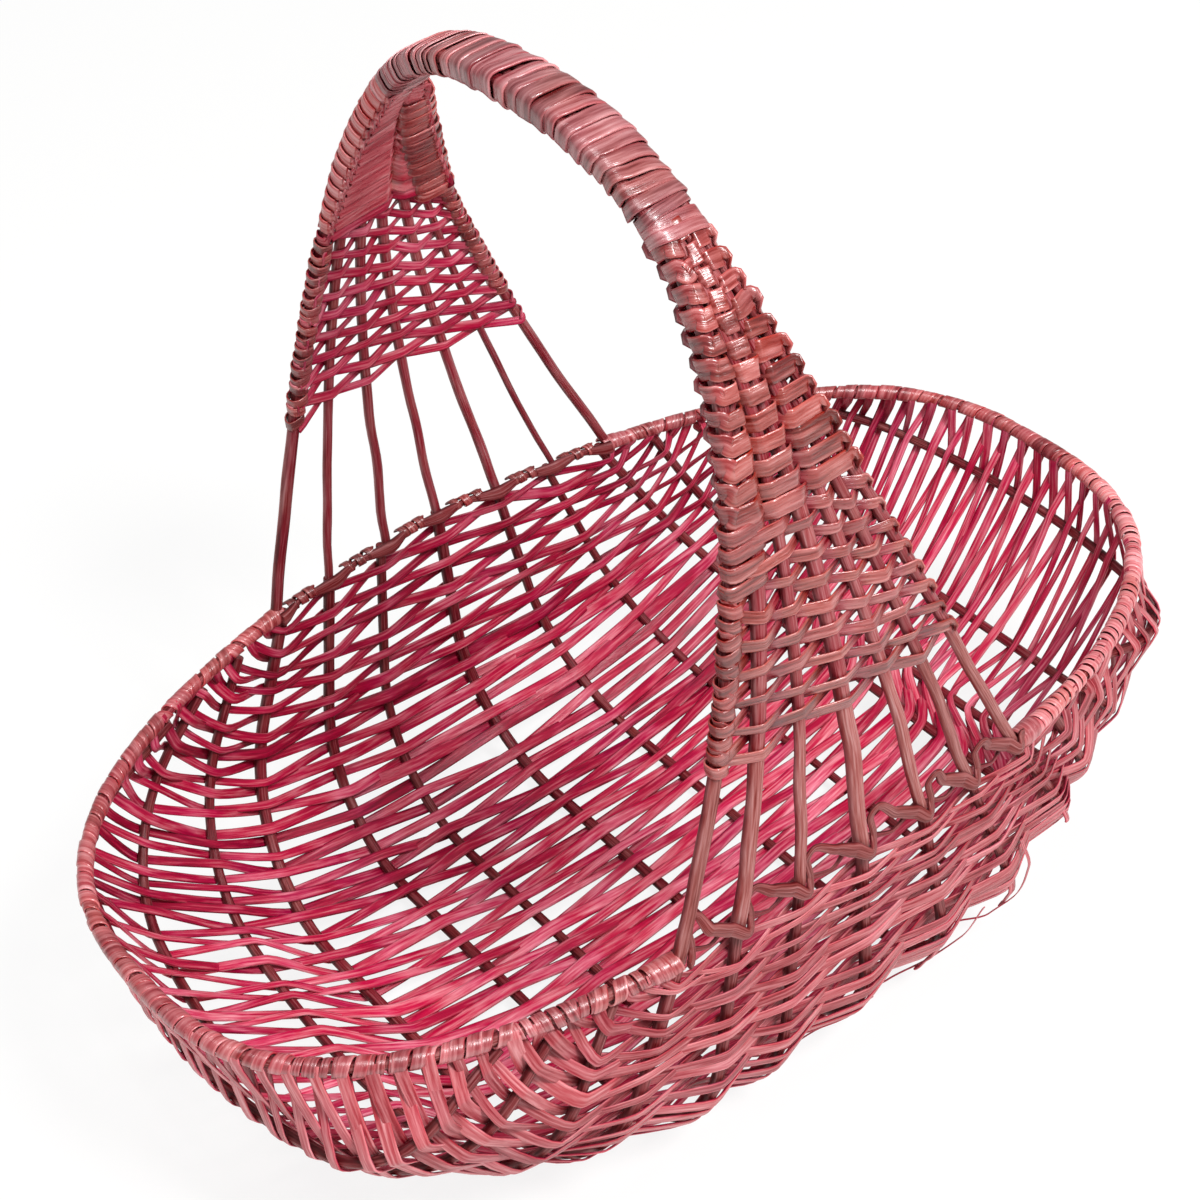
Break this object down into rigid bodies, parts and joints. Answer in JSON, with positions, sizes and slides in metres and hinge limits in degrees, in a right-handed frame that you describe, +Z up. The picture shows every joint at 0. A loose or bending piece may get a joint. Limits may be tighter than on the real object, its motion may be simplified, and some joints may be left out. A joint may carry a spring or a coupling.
{
  "type": "egg collection basket",
  "caption": "Shallow oval ribbed willow basket with a bound arch handle that fans out into woven side panels; dyed crimson, faded on the outside.",
  "frame": {"origin": "on the ground under the middle of the basket's bounding box", "axes": "+X along the bowl to its right end, +Y to the back side of the handle, +Z up"},
  "size_m": [0.4874, 0.2928, 0.4282],
  "materials": {
    "rib_rods": "satin dyed bark, dark crimson",
    "handle_rods": "satin dyed bark, faded brownish crimson",
    "rim_hoops": "satin dyed bark",
    "bowl_weavers": "satin dyed split willow, crimson to pink",
    "handle_skeins": "satin dyed split willow, faded dusty pink",
    "rim_skeins": "satin dyed split willow, faded terracotta"
  },
  "bodies": {
    "root": {"left_end_hoop": "rim_hoops", "right_end_hoop": "rim_hoops", "handle_rod_1": "handle_rods", "handle_rod_2": "handle_rods", "handle_rod_3": "handle_rods", "handle_rod_4": "handle_rods", "handle_rod_5": "handle_rods", "handle_rod_6": "handle_rods", "handle_rod_7": "handle_rods", "body_rib_1": "rib_rods", "body_rib_2": "rib_rods", "body_rib_3": "rib_rods", "body_rib_4": "rib_rods", "body_rib_5": "rib_rods", "body_rib_6": "rib_rods", "body_rib_7": "rib_rods", "left_end_rib_1": "rib_rods", "left_end_rib_2": "rib_rods", "left_end_rib_3": "rib_rods", "right_end_rib_1": "rib_rods", "right_end_rib_2": "rib_rods", "right_end_rib_3": "rib_rods", "back_wall_weavers": "bowl_weavers", "floor_weavers": "bowl_weavers", "front_wall_weavers": "bowl_weavers", "front_border_rods": "handle_rods", "back_border_rods": "handle_rods", "front_panel_weavers": "handle_skeins", "back_panel_weavers": "handle_skeins", "front_neck_binding": "handle_skeins", "back_neck_binding": "handle_skeins", "grip_binding": "handle_skeins", "left_rim_wrap": "rim_skeins", "right_rim_wrap": "rim_skeins", "lashing_front_left": "rim_skeins", "lashing_front_right": "rim_skeins", "lashing_back_left": "rim_skeins", "lashing_back_right": "rim_skeins"}
  },
  "joints": []
}
